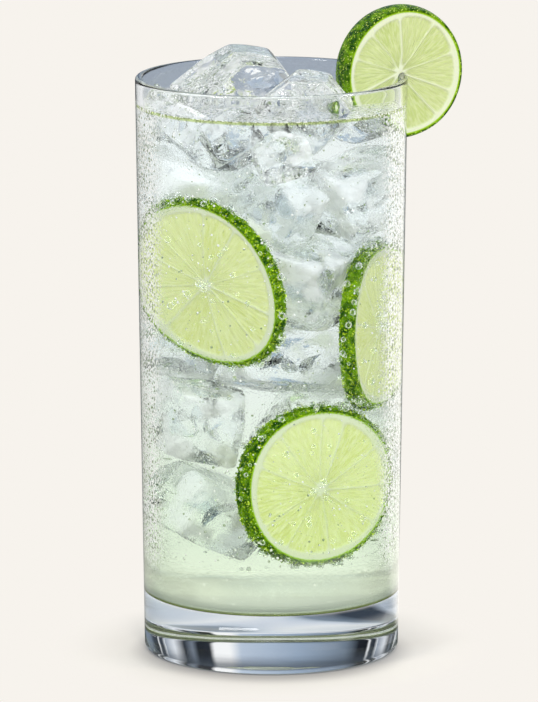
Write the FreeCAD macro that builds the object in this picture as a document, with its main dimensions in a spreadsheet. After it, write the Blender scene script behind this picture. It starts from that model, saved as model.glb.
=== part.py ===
"""A tall glass of iced lime lemonade with a lime wheel slit over its rim.

Everything is in millimetres. The origin is the centre of the glass's foot on the surface that it
stands on, +Z is up, +X runs towards the side that carries the lime wheel, and -Y is the front.
The sizes live in the sheet, and every feature reads them from there.
"""
import FreeCAD, Part
import math
import os
import re

import Sketcher

Vector = FreeCAD.Vector

SIZES = [
    # alias, value, what it is
    ("glass_height", 163.0, "foot to lip"),
    ("rim_radius", 38.0, "outside, at the lip"),
    ("base_radius", 35.8, "outside, at the foot"),
    ("wall_rim", 2.0, "wall at the lip"),
    ("wall_low", 2.5, "wall where it meets the floor"),
    ("floor_thick", 16.5, "heavy base under the drink"),
    ("lip_round", 0.9, "rounding of the fire-polished lip"),
    ("foot_round", 1.8, "rounding of the foot's outer edge"),
    ("floor_round", 4.0, "rounding between wall and floor, inside"),
    ("foot_ring", 5.0, "flat ring that the glass stands on, outside the dome"),
    ("punt_depth", 1.2, "height of the shallow dome under the base"),
    ("level_below_lip", 8.0, "free height above the drink"),
    ("lime_radius", 18.9, "lime wheel on the rim, over the peel"),
    ("lime_thick", 7.6, "the wheel's thickness"),
    ("lime_bulge", 0.7, "how far the peel's edge swells between the faces"),
    ("rind", 2.7, "peel and pith, from the edge to the pulp"),
    ("lime_core", 2.4, "centre to the inner tip of a segment"),
    ("membrane", 0.9, "skin between two segments"),
    ("segments", 10, "segments in the wheel"),
    ("segment_round", 1.3, "rounding of a segment's outer corners"),
    ("pulp_sink", 0.4, "how far the pulp lies under the pith and the skins"),
    ("slit_gap", 0.25, "between the slit's sides and the wall"),
    ("seat_gap", 0.1, "between the slit's end and the lip"),
    ("slit_past_core", 0.2, "how far the slit runs past the wheel's centre"),
    ("lime_azimuth", 15.0, "where the wheel sits on the rim, from +X"),
    ("lime_yaw", 27.0, "turn of the wheel's face, from the front"),
    ("ice_room", 35.86, "inner radius that the cubes of ice are laid out for"),
]

# Cubes of ice that break the surface, laid out for a glass of ice_room inside and scaled to the room
# that there is: sizes, the centre's place across the glass and above the level, and the turns.
ICE = {
    "ice_tall": dict(wide=31.0, deep=26.0, tall=21.0, chip=8.5, draft=3.0, melt=1.8,
                     right=-7.8, back=7.0, rise=-0.7, yaw=8.0, pitch=-34.0, roll=102.0),
    "ice_low": dict(wide=21.5, deep=20.0, tall=16.0, chip=7.5, draft=4.0, melt=2.6,
                    right=8.3, back=-14.5, rise=1.4, yaw=-14.0, pitch=-42.0, roll=96.0),
    "ice_front": dict(wide=15.0, deep=14.0, tall=12.0, chip=4.0, draft=3.0, melt=2.2,
                      right=-10.3, back=-22.8, rise=-4.5, yaw=10.0, pitch=-30.0, roll=78.0),
    "ice_back": dict(wide=14.0, deep=12.5, tall=12.5, chip=4.0, draft=3.0, melt=2.0,
                     right=18.0, back=20.5, rise=-3.5, yaw=60.0, pitch=-20.0, roll=70.0),
}
ICE_WORDS = dict(wide="width", deep="depth", tall="height", chip="melted corner, along each side",
                 draft="taper of the sides, in degrees", melt="rounding of the edges",
                 right="centre, along +X", back="centre, along +Y", rise="centre, above the level",
                 yaw="turn about Z", pitch="turn about Y", roll="turn about X")

# The outside of the wall and the inside of it are straight lines in section.
WALL_OUT_LOW = "(base_radius + (rim_radius - base_radius) * floor_thick / glass_height)"
WALL_IN_LOW = f"({WALL_OUT_LOW} - wall_low)"
WALL_IN_TOP = "(rim_radius - wall_rim)"
LEVEL = "(glass_height - level_below_lip)"
RISE = "(glass_height - floor_thick)"
WALL_IN_LEVEL = f"({WALL_IN_TOP} - ({WALL_IN_TOP} - {WALL_IN_LOW}) * level_below_lip / {RISE})"
ROOM = f"({WALL_IN_LEVEL} / ice_room)"
PUNT_RADIUS = "(base_radius - foot_round - foot_ring)"

doc = FreeCAD.newDocument("lime_lemonade")
sheet = doc.addObject("Spreadsheet::Sheet", "Sizes")


def fill_sheet():
    """Write every size in a row of its own, as meaning and value, and return the aliases."""
    rows = list(SIZES)
    for name, sizes in ICE.items():
        rows += [(f"{name}_{key}", value, f"{name}: {ICE_WORDS[key]}") for key, value in sizes.items()]
    for row, (alias, value, words) in enumerate(rows, start=1):
        sheet.set(f"A{row}", words)
        sheet.set(f"B{row}", str(value))
        sheet.setAlias(f"B{row}", alias)
    doc.recompute()
    return {alias for alias, _, _ in rows}


ALIASES = fill_sheet()


def number(formula):
    """The value of a formula in the sheet's aliases."""
    value = sheet.evalExpression(formula)
    return float(getattr(value, "Value", value))


def bind(thing, prop, formula):
    """Tie a property to a formula in the sheet's aliases."""
    def spelled_out(word):
        return f"Sizes.{word[0]}" if word[0] in ALIASES else word[0]
    thing.setExpression(prop, re.sub(r"[A-Za-z_]\w*", spelled_out, formula))


def new_body(name):
    """A body whose Label is the node's name."""
    body = doc.addObject("PartDesign::Body", name)
    body.Label = name
    return body


def new_sketch(body, name, plane):
    """A sketch on one of the body's own origin planes."""
    sketch = body.newObject("Sketcher::SketchObject", name)
    origin = [feature for feature in body.Origin.OriginFeatures if feature.Role == plane]
    sketch.AttachmentSupport = (origin[0], [""])
    sketch.MapMode = "FlatFace"
    return sketch


def tie(sketch, kind, geometry, point, formula):
    """Fix one coordinate of a point, by the axis where it is zero and by the sheet elsewhere."""
    if formula == "0":
        axis = -2 if kind == "DistanceX" else -1
        sketch.addConstraint(Sketcher.Constraint("PointOnObject", geometry, point, axis))
        return
    index = sketch.addConstraint(Sketcher.Constraint(kind, geometry, point, number(formula)))
    bind(sketch, f"Constraints[{index}]", formula)


def draw_outline(sketch, corners):
    """Straight edges through the corners, whose coordinates are formulas in the sheet's aliases."""
    points = [Vector(number(x), number(y), 0) for x, y in corners]
    for start, end in zip(points, points[1:] + points[:1]):
        sketch.addGeometry(Part.LineSegment(start, end))
    for edge in range(len(corners)):
        after = (edge + 1) % len(corners)
        sketch.addConstraint(Sketcher.Constraint("Coincident", edge, 2, after, 1))
    for edge, (x, y) in enumerate(corners):
        if (x, y) == ("0", "0"):
            sketch.addConstraint(Sketcher.Constraint("Coincident", edge, 1, -1, 1))
            continue
        tie(sketch, "DistanceX", edge, 1, x)
        tie(sketch, "DistanceY", edge, 1, y)


def revolve(body, sketch, name, kind="PartDesign::Revolution"):
    """Turn a sketch all the way round its vertical axis."""
    feature = body.newObject(kind, name)
    feature.Profile = sketch
    feature.ReferenceAxis = (sketch, ["V_Axis"])
    feature.Angle = 360
    body.Tip = feature
    doc.recompute()
    return feature


def round_rings(body, name, radius, rings):
    """Round the circular edges at the given (radius, height) pairs, to a formula's radius."""
    base = body.Tip
    places = [(number(r), number(z)) for r, z in rings]
    edges = []
    for index, edge in enumerate(base.Shape.Edges, start=1):
        if edge.Degenerated or not isinstance(edge.Curve, Part.Circle):
            continue
        curve = edge.Curve
        if any(abs(curve.Radius - r) < 0.01 and abs(curve.Center.z - z) < 0.01 for r, z in places):
            edges.append(f"Edge{index}")
    fillet = body.newObject("PartDesign::Fillet", name)
    fillet.Base = (base, edges)
    bind(fillet, "Radius", radius)
    body.Tip = fillet
    doc.recompute()
    return fillet


def make_tumbler():
    """The glass: a tapered wall on a heavy floor, with a round lip and a shallow dome underneath."""
    body = new_body("tumbler")
    section = new_sketch(body, "tumbler_section", "XZ_Plane")
    draw_outline(section, [
        ("0", "0"),
        ("base_radius", "0"),
        ("rim_radius", "glass_height"),
        (WALL_IN_TOP, "glass_height"),
        (WALL_IN_LOW, "floor_thick"),
        ("0", "floor_thick"),
    ])
    blank = revolve(body, section, "tumbler_turned")

    dome = new_sketch(body, "punt_section", "XZ_Plane")
    reach, depth = number(PUNT_RADIUS), number("punt_depth")
    ball = (reach ** 2 + depth ** 2) / (2 * depth)
    half = math.asin(reach / ball)
    dome.addGeometry(Part.LineSegment(Vector(0, 0, 0), Vector(reach, 0, 0)))
    dome.addGeometry(Part.ArcOfCircle(
        Part.Circle(Vector(0, depth - ball, 0), Vector(0, 0, 1), ball),
        math.pi / 2 - half, math.pi / 2))
    dome.addGeometry(Part.LineSegment(Vector(0, depth, 0), Vector(0, 0, 0)))
    dome.addConstraint(Sketcher.Constraint("Coincident", 0, 1, -1, 1))
    dome.addConstraint(Sketcher.Constraint("Coincident", 0, 2, 1, 1))
    dome.addConstraint(Sketcher.Constraint("Coincident", 1, 2, 2, 1))
    dome.addConstraint(Sketcher.Constraint("Coincident", 2, 2, 0, 1))
    dome.addConstraint(Sketcher.Constraint("PointOnObject", 1, 3, -2))
    tie(dome, "DistanceY", 0, 2, "0")
    tie(dome, "DistanceX", 0, 2, PUNT_RADIUS)
    tie(dome, "DistanceX", 2, 1, "0")
    tie(dome, "DistanceY", 2, 1, "punt_depth")
    punt = revolve(body, dome, "punt", "PartDesign::Groove")
    if punt.Shape.Volume >= blank.Shape.Volume:
        raise RuntimeError("the dome under the base cut nothing")

    round_rings(body, "lip", "min(lip_round; wall_rim * 0.48)",
                [("rim_radius", "glass_height"), (WALL_IN_TOP, "glass_height")])
    round_rings(body, "foot", "foot_round", [("base_radius", "0")])
    round_rings(body, "floor_corner", "floor_round", [(WALL_IN_LOW, "floor_thick")])
    return body


def make_fill():
    """The drink as poured: it fills the glass face to face, from the floor to its level."""
    body = new_body("fill")
    section = new_sketch(body, "fill_section", "XZ_Plane")
    draw_outline(section, [
        ("0", "floor_thick"),
        (WALL_IN_LOW, "floor_thick"),
        (WALL_IN_LEVEL, LEVEL),
        ("0", LEVEL),
    ])
    revolve(body, section, "fill_turned")
    round_rings(body, "fill_corner", "floor_round", [(WALL_IN_LOW, "floor_thick")])
    return body


def draw_segment(sketch):
    """One segment of pulp about the X axis: a rounded tip, two straight sides and a wide outer arc.

    The sides lie half a skin away from the radii that bound the segment, so that equal skins are
    left between neighbours, and every arc is tangent to the edges it joins.
    """
    half = math.pi / number("segments")
    skin = number("membrane") / 2
    outer = number("lime_radius - rind")
    corner = number("segment_round")
    tip_formula = "(lime_core * sin(180deg / segments) - membrane / 2) / (1 - sin(180deg / segments))"
    tip = number(tip_formula)
    along = Vector(math.cos(half), math.sin(half), 0)
    inward = Vector(math.sin(half), -math.cos(half), 0)
    tip_centre = Vector((skin + tip) / math.sin(half), 0, 0)
    reach = math.sqrt((outer - corner) ** 2 - (skin + corner) ** 2)
    corner_centre = inward * (skin + corner) + along * reach
    lean = math.atan2(corner_centre.y, corner_centre.x)
    side_start = tip_centre - inward * tip
    side_end = corner_centre - inward * corner

    def mirrored(point):
        return Vector(point.x, -point.y, 0)

    def arc(centre, radius, start, end):
        return Part.ArcOfCircle(Part.Circle(centre, Vector(0, 0, 1), radius), start, end)

    up = math.pi / 2 + half
    sketch.addGeometry(Part.LineSegment(side_start, side_end))
    sketch.addGeometry(arc(corner_centre, corner, lean, up))
    sketch.addGeometry(arc(Vector(0, 0, 0), outer, -lean, lean))
    sketch.addGeometry(arc(mirrored(corner_centre), corner, -up, -lean))
    sketch.addGeometry(Part.LineSegment(mirrored(side_end), mirrored(side_start)))
    sketch.addGeometry(arc(tip_centre, tip, up, 2 * math.pi - up))
    side, corner_arc, rim_arc, low_corner, low_side, tip_arc = range(6)
    for first, first_end, second, second_end in (
        (side, 2, corner_arc, 2),
        (corner_arc, 1, rim_arc, 2),
        (rim_arc, 1, low_corner, 2),
        (low_corner, 1, low_side, 1),
        (low_side, 2, tip_arc, 2),
        (tip_arc, 1, side, 1),
    ):
        sketch.addConstraint(Sketcher.Constraint("Tangent", first, first_end, second, second_end))
    sketch.addConstraint(Sketcher.Constraint("Coincident", rim_arc, 3, -1, 1))
    sketch.addConstraint(Sketcher.Constraint("PointOnObject", tip_arc, 3, -1))
    sketch.addConstraint(Sketcher.Constraint("Equal", corner_arc, low_corner))
    for kind, items, formula in (
        ("Radius", (rim_arc,), "lime_radius - rind"),
        ("Radius", (corner_arc,), "segment_round"),
        ("Radius", (tip_arc,), tip_formula),
        ("Distance", (-1, 1, side), "membrane / 2"),
    ):
        index = sketch.addConstraint(Sketcher.Constraint(kind, *items, number(formula)))
        bind(sketch, f"Constraints[{index}]", formula)
    index = sketch.addConstraint(Sketcher.Constraint("Angle", side, half))
    bind(sketch, f"Constraints[{index}]", "180deg / segments")


def sink_pulp(body, name, side):
    """Sink every segment of one face by a pocket repeated round the wheel's axis."""
    before = body.Tip.Shape.Volume
    sketch = new_sketch(body, f"{name}_segment", "XY_Plane")
    bind(sketch, "AttachmentOffset.Base.z", f"{side} * lime_thick / 2")
    draw_segment(sketch)
    pocket = body.newObject("PartDesign::Pocket", f"{name}_pulp")
    pocket.Profile = sketch
    pocket.Type = "Length"
    pocket.Reversed = side < 0
    bind(pocket, "Length", "pulp_sink")
    body.Tip = pocket
    doc.recompute()
    pattern = body.newObject("PartDesign::PolarPattern", f"{name}_segments")
    pattern.Originals = [pocket]
    pattern.Axis = (sketch, ["N_Axis"])
    pattern.Angle = 360
    bind(pattern, "Occurrences", "segments")
    body.Tip = pattern
    doc.recompute()
    if pattern.Shape.Volume >= before:
        raise RuntimeError(f"{name}: the pulp wasn't sunk")


def make_wheel():
    """A slice across a lime: a swelling band of peel, and sunken pulp between pith and skins."""
    body = new_body("lime_wheel")
    section = new_sketch(body, "wheel_section", "XZ_Plane")
    face, swell, half = number("lime_radius - lime_bulge"), number("lime_bulge"), number("lime_thick / 2")
    ball = (swell ** 2 + half ** 2) / (2 * swell)
    turn = math.asin(half / ball)
    bottom, top = -half, half
    section.addGeometry(Part.LineSegment(Vector(0, bottom, 0), Vector(face, bottom, 0)))
    section.addGeometry(Part.ArcOfCircle(
        Part.Circle(Vector(face + swell - ball, 0, 0), Vector(0, 0, 1), ball), -turn, turn))
    section.addGeometry(Part.LineSegment(Vector(face, top, 0), Vector(0, top, 0)))
    section.addGeometry(Part.LineSegment(Vector(0, top, 0), Vector(0, bottom, 0)))
    for edge in range(4):
        section.addConstraint(Sketcher.Constraint("Coincident", edge, 2, (edge + 1) % 4, 1))
    section.addConstraint(Sketcher.Constraint("PointOnObject", 1, 3, -1))
    section.addConstraint(Sketcher.Constraint("Horizontal", 0))
    section.addConstraint(Sketcher.Constraint("Horizontal", 2))
    section.addConstraint(Sketcher.Constraint("PointOnObject", 0, 1, -2))
    section.addConstraint(Sketcher.Constraint("PointOnObject", 2, 2, -2))
    tie(section, "DistanceX", 1, 2, "lime_radius - lime_bulge")
    tie(section, "DistanceY", 1, 2, "lime_thick / 2")
    index = section.addConstraint(Sketcher.Constraint("Radius", 1, ball))
    bind(section, f"Constraints[{index}]",
         "(lime_bulge * lime_bulge + lime_thick * lime_thick / 4) / (2 * lime_bulge)")
    revolve(body, section, "wheel_turned")
    sink_pulp(body, "front", 1)
    sink_pulp(body, "back", -1)
    # The wheel stands upright, its centre over the middle of the wall, its slit ending on the lip.
    bind(body, "Placement.Base.x", "(rim_radius - wall_rim / 2) * cos(lime_azimuth * 1deg)")
    bind(body, "Placement.Base.y", "(rim_radius - wall_rim / 2) * sin(lime_azimuth * 1deg)")
    bind(body, "Placement.Base.z", "glass_height + seat_gap - slit_past_core")
    bind(body, "Placement.Rotation.Yaw", "lime_yaw")
    bind(body, "Placement.Rotation.Roll", "90")
    return body


def make_slit():
    """The room that the wall takes in the wheel: the wall's own section with the gap round it."""
    body = new_body("slit")
    section = new_sketch(body, "slit_section", "XZ_Plane")
    draw_outline(section, [
        ("base_radius + slit_gap", "0"),
        ("rim_radius + slit_gap", "glass_height + seat_gap"),
        (f"{WALL_IN_TOP} - slit_gap", "glass_height + seat_gap"),
        (f"{WALL_IN_LOW} - slit_gap", "0"),
    ])
    revolve(body, section, "slit_turned")
    return body


def make_ice(name):
    """A cube from a tapered tray mould, one corner melted off flat and every edge rounded."""
    wide, deep, tall, chip = (f"{name}_{size} * {ROOM}" for size in ("wide", "deep", "tall", "chip"))
    body = new_body(name)
    outline = new_sketch(body, f"{name}_outline", "XY_Plane")
    draw_outline(outline, [
        (f"-{wide} / 2", f"-{deep} / 2"),
        (f"{wide} / 2", f"-{deep} / 2"),
        (f"{wide} / 2", f"{deep} / 2 - {chip}"),
        (f"{wide} / 2 - {chip}", f"{deep} / 2"),
        (f"-{wide} / 2", f"{deep} / 2"),
    ])
    bind(outline, "AttachmentOffset.Base.z", f"-{tall} / 2")
    block = body.newObject("PartDesign::Pad", f"{name}_block")
    block.Profile = outline
    bind(block, "Length", tall)
    bind(block, "TaperAngle", f"-{name}_draft")
    body.Tip = block
    doc.recompute()
    melted = body.newObject("PartDesign::Fillet", f"{name}_melted")
    melted.Base = (block, [""])
    melted.UseAllEdges = True
    bind(melted, "Radius", f"{name}_melt * {ROOM}")
    body.Tip = melted
    bind(body, "Placement.Base.x", f"{name}_right * {ROOM}")
    bind(body, "Placement.Base.y", f"{name}_back * {ROOM}")
    bind(body, "Placement.Base.z", f"{LEVEL} + {name}_rise * {ROOM}")
    for turn in ("yaw", "pitch", "roll"):
        bind(body, f"Placement.Rotation.{turn.capitalize()}", f"{name}_{turn}")
    doc.recompute()
    return body


def cut(name, base, tool):
    """Base less tool, as a sub-part of its own."""
    feature = doc.addObject("Part::Cut", name)
    feature.Label = name
    feature.Base = base
    feature.Tool = tool
    doc.recompute()
    if feature.Shape.Volume >= base.Shape.Volume:
        raise RuntimeError(f"{name}: nothing was cut")
    return feature


def make_drink(fill, sunk):
    """What is left of the fill round the garnish and the ice that stand in it."""
    together = doc.addObject("Part::MultiFuse", "stands_in_drink")
    together.Shapes = sunk
    doc.recompute()
    return cut("drink", fill, together)


def check_and_write(nodes):
    """Stop at any failed object or bad solid, then write one STEP file for each node."""
    doc.recompute()
    for thing in doc.Objects:
        bad = {"Invalid", "Error"} & set(thing.State)
        if bad:
            raise RuntimeError(f"{thing.Label}: {sorted(bad)}")
    for node in nodes:
        shape = node.Shape
        if shape.isNull() or not shape.isValid() or len(shape.Solids) != 1:
            raise RuntimeError(f"{node.Label}: {len(shape.Solids)} solids, valid {shape.isValid()}")
        print(f"{node.Label}: {shape.Volume / 1000:.1f} cm3")
    os.makedirs("parts", exist_ok=True)
    for node in nodes:
        node.Shape.exportStep(f"parts/{node.Label}.step")


tumbler = make_tumbler()
garnish = cut("lime_garnish", make_wheel(), make_slit())
cubes = [make_ice(name) for name in ICE]
drink = make_drink(make_fill(), [garnish] + cubes)
check_and_write([tumbler, drink, garnish] + cubes)
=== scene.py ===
"""Lime lemonade over ice in a tall clear tumbler, with a wheel of lime slit over the rim.

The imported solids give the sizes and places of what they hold. Each section below makes one piece of
the drink, in the order in which it is put together: the tumbler, the wheels of lime and the ice sunk
in it, the drink, its bubbles, the cracks in its ice, the ice that floats, and the wheel on the rim.
The table, the light and the camera come last.
"""

import bpy
import numpy as np
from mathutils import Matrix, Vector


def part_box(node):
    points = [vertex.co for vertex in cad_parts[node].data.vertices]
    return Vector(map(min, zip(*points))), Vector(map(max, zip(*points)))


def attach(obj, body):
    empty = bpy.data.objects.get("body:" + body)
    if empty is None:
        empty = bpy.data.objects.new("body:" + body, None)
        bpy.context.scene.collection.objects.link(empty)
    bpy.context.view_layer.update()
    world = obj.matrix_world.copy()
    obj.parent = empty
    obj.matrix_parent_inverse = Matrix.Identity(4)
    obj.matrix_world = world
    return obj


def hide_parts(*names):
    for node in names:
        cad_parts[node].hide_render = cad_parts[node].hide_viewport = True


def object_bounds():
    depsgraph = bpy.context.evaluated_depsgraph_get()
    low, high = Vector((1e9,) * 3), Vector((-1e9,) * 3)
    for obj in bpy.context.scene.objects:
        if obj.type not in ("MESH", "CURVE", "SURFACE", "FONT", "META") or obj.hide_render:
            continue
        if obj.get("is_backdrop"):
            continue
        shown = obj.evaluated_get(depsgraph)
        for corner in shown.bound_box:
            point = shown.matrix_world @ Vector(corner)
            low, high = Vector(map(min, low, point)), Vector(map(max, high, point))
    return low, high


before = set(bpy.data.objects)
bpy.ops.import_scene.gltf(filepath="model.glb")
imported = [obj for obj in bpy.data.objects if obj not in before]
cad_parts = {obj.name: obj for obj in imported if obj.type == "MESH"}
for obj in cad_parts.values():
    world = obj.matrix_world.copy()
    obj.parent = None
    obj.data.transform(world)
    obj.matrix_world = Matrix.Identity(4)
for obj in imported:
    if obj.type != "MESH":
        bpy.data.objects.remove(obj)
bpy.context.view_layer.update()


# ------------------------------------------------------------------------------------ the tumbler
# A tall tumbler of clear soda glass, pressed in one piece. Its floor is thick, it stands on a ring
# round a shallow hollow, its wall thins a little upwards, and its lip is rounded in the fire.

glass_height, glass_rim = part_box("tumbler")[1].z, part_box("tumbler")[1].x
glass_foot = glass_rim - 0.0022
glass_floor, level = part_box("drink")[0].z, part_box("drink")[1].z
wall_low, wall_rim = 0.0025, 0.0020
foot_round, lip_round, floor_round = 0.0018, 0.00088, 0.0040
hollow_reach, hollow_depth = glass_foot - 0.0068, 0.0012


def outer_wall(height):
    """Outer radius of the tumbler: it grows evenly from the foot to the rim."""
    return glass_foot + (glass_rim - glass_foot) * height / glass_height


def inner_wall(height):
    """Inner radius: the outer radius less a wall that thins evenly from the foot to the rim."""
    return outer_wall(height) - (wall_low + (wall_rim - wall_low) * height / glass_height)


def round_corners(corners, steps=8, gap=0.0016):
    """Profile along straight runs between corners (radius, height, round), the corners rounded.

    A round touches its two runs at round x tan(half the turn) from the corner. Between them lies an
    exact arc, the rational curve whose middle weight is cos(half the turn). Long runs are then cut
    into steps of about gap, at equal shares of the length walked."""
    corners = np.asarray(corners, float)
    place, size = corners[:, :2], corners[1:-1, 2:]
    back, ahead = place[:-2] - place[1:-1], place[2:] - place[1:-1]
    back /= np.linalg.norm(back, axis=1, keepdims=True)
    ahead /= np.linalg.norm(ahead, axis=1, keepdims=True)
    half = 0.5 * (np.pi - np.arccos(np.clip((back * ahead).sum(1, keepdims=True), -1, 1)))
    start, end = place[1:-1] + back * size * np.tan(half), place[1:-1] + ahead * size * np.tan(half)
    t = np.linspace(0, 1, steps)[None, :, None]
    weight = np.stack([(1 - t) ** 2 + 0 * t, 2 * t * (1 - t), t ** 2])
    middle = weight[1] * np.cos(half)[:, None]
    arc = (weight[0] * start[:, None] + middle * place[1:-1, None] + weight[2] * end[:, None])
    arc = arc / (weight[0] + middle + weight[2])
    path = np.vstack([place[:1], arc.reshape(-1, 2), place[-1:]])
    walked = np.concatenate([[0], np.cumsum(np.linalg.norm(np.diff(path, axis=0), axis=1))])
    marks = np.union1d(walked, np.linspace(0, walked[-1], int(walked[-1] / gap)))
    marks = marks[np.concatenate([[True], np.diff(marks) > 1e-5])]
    return np.stack([np.interp(marks, walked, path[:, 0]), np.interp(marks, walked, path[:, 1])], 1)


def turn_round(profile, turns=200):
    """Carries a profile (radius, height) round the upright axis: x = r cos a, y = r sin a, z = h."""
    angle = np.arange(turns) * 2 * np.pi / turns
    radius, height = profile[:, :1], profile[:, 1:]
    return np.stack([radius * np.cos(angle), radius * np.sin(angle), height + 0 * angle], axis=-1)


def make_piece(name, points, faces, marks=None):
    """A smooth mesh object of points and faces. marks are named values kept on the points."""
    mesh = bpy.data.meshes.new(name)
    mesh.from_pydata(points.tolist(), [], faces)
    for mark, value in (marks or {}).items():
        kind, slot = ("FLOAT", "value") if value.shape[1] == 1 else ("FLOAT_VECTOR", "vector")
        mesh.attributes.new(mark, kind, "POINT").data.foreach_set(slot, value.astype(np.float32).ravel())
    mesh.shade_smooth()
    piece = bpy.data.objects.new(name, mesh)
    bpy.context.scene.collection.objects.link(piece)
    return piece


def lay_skin(name, rings, marks=None):
    """Closed mesh over rings of points, rings by places by (x, y, z).

    The first and last rings are single points, the two poles. Neighbouring rings are joined by
    four-sided faces. If the enclosed volume, the sum of a . (b x c) over the faces' corners, comes
    out negative, every face is turned over."""
    rows, places = rings.shape[0] - 2, rings.shape[1]
    number = np.arange(rows * places).reshape(rows, places)
    beside = np.roll(number, -1, axis=1)
    quads = np.stack([number[:-1], beside[:-1], beside[1:], number[1:]], -1).reshape(-1, 4)
    south, north = rows * places, rows * places + 1
    caps = np.vstack([np.stack([beside[0], number[0], 0 * number[0] + south], -1),
                      np.stack([number[-1], beside[-1], 0 * number[0] + north], -1)])
    points = np.vstack([rings[1:-1].reshape(-1, 3), rings[0, :1], rings[-1, :1]])
    a, b, c = (points[quads[:, i]] for i in range(3))
    if (a * np.cross(b, c)).sum() < 0:
        quads, caps = quads[:, ::-1], caps[:, ::-1]
    marks = {mark: np.vstack([value[1:-1].reshape(rows * places, -1), value[0, :1], value[-1, :1]])
             for mark, value in (marks or {}).items()}
    return make_piece(name, points, quads.tolist() + caps.tolist(), marks)


def sink_dome(radius, depth, steps=14):
    """Corners of the hollow under the foot: height = depth x (1 - (r / radius) squared)."""
    r = np.linspace(0, radius, steps)
    return np.stack([r, depth * (1 - (r / radius) ** 2), 0 * r + 0.0001], 1)


tumbler_profile = round_corners(np.vstack([
    sink_dome(hollow_reach, hollow_depth),
    [[glass_foot, 0, foot_round],
     [glass_rim, glass_height, lip_round],
     [glass_rim - wall_rim, glass_height, lip_round],
     [inner_wall(glass_floor), glass_floor, floor_round],
     [0, glass_floor, 0]]]))
tumbler = lay_skin("glass_tumbler", turn_round(tumbler_profile))


def paint(red, green, blue):
    """A colour given in parts of 255, as a shader takes it: ((c + 0.055) / 1.055) to the 2.4.

    The darkest parts, up to 10, are c / 12.92 instead, which is c / 3295 in parts of 255."""
    return tuple(((c / 255 + 0.055) / 1.055) ** 2.4 if c > 10 else c / 3295
                 for c in (red, green, blue)) + (1.0,)


def add_node(material, kind, inputs=None, **settings):
    """Adds a node to a material. inputs are numbers, colours, or other nodes' outputs."""
    node = material.node_tree.nodes.new("ShaderNode" + kind)
    for name, value in settings.items():
        setattr(node, name, value)
    for name, value in (inputs or {}).items():
        if isinstance(value, bpy.types.NodeSocket):
            material.node_tree.links.new(value, node.inputs[name])
        else:
            node.inputs[name].default_value = value
    return node


def start_finish(name, **sockets):
    """A new material whose own shader has the given settings, and that shader."""
    material = bpy.data.materials.new(name)
    material.use_nodes = True
    shader = material.node_tree.nodes["Principled BSDF"]
    for socket, value in sockets.items():
        shader.inputs[socket.replace("_", " ")].default_value = value
    return material, shader


def run_between(material, value, low, high, new_low=0.0, new_high=1.0):
    """Carries a value smoothly from the range low..high to new_low..new_high, and holds it there."""
    inputs = {"Value": value, "From Min": low, "From Max": high, "To Min": new_low, "To Max": new_high}
    return add_node(material, "MapRange", inputs, interpolation_type="SMOOTHSTEP").outputs["Result"]


def reckon(material, operation, first, second=0.0, third=0.0, held=False):
    """Works on numbers, such as MULTIPLY or MAXIMUM. held keeps the result between 0 and 1."""
    return add_node(material, "Math", {0: first, 1: second, 2: third}, operation=operation,
                    use_clamp=held).outputs["Value"]


def reckon_vectors(material, operation, first, second=(0.0, 0.0, 0.0)):
    """Works on vectors. LENGTH and DOT_PRODUCT give a number, and the others a vector."""
    node = add_node(material, "VectorMath", {0: first, 1: second}, operation=operation)
    return node.outputs["Value" if operation in ("LENGTH", "DOT_PRODUCT") else "Vector"]


def blend_colours(material, share, first, second):
    """Mixes two colours by a share."""
    node = add_node(material, "Mix", data_type="RGBA")
    for socket, value in ((node.inputs["Factor"], share), (node.inputs[6], first), (node.inputs[7], second)):
        if isinstance(value, bpy.types.NodeSocket):
            material.node_tree.links.new(value, socket)
        else:
            socket.default_value = value
    return node.outputs[2]


def stir(material, place, scale, detail=2.0):
    """Cloudy noise with lumps about 1 / scale across."""
    return add_node(material, "TexNoise", {"Vector": place, "Scale": scale, "Detail": detail}).outputs["Fac"]


def raise_bumps(material, height, strength, depth, under=None, **settings):
    """Bumps of a height, on top of those under them."""
    inputs = {"Height": height, "Strength": strength, "Distance": depth}
    if under is not None:
        inputs["Normal"] = under
    return add_node(material, "Bump", inputs, **settings).outputs["Normal"]


def find_place(material):
    """The place on the piece, its height, and its distance from the upright axis."""
    place = add_node(material, "TexCoord").outputs["Object"]
    height = add_node(material, "SeparateXYZ", {"Vector": place}).outputs["Z"]
    flat = reckon_vectors(material, "MULTIPLY", place, (1.0, 1.0, 0.0))
    return place, height, reckon_vectors(material, "LENGTH", flat)


def feed(shader, socket, value):
    """Joins a value to a socket of a shader."""
    shader.id_data.links.new(value, shader.inputs[socket])


def let_light_in(material, shader, tint):
    """Lets the room's light straight in: for shadow and diffuse rays the surface is clear with a tint."""
    path = add_node(material, "LightPath").outputs
    soft = reckon(material, "MAXIMUM", path["Is Shadow Ray"], path["Is Diffuse Ray"])
    clear = add_node(material, "BsdfTransparent", {"Color": tint}).outputs["BSDF"]
    both = add_node(material, "MixShader", {0: soft, 1: shader.outputs["BSDF"], 2: clear}).outputs["Shader"]
    feed(material.node_tree.nodes["Material Output"], "Surface", both)


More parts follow.
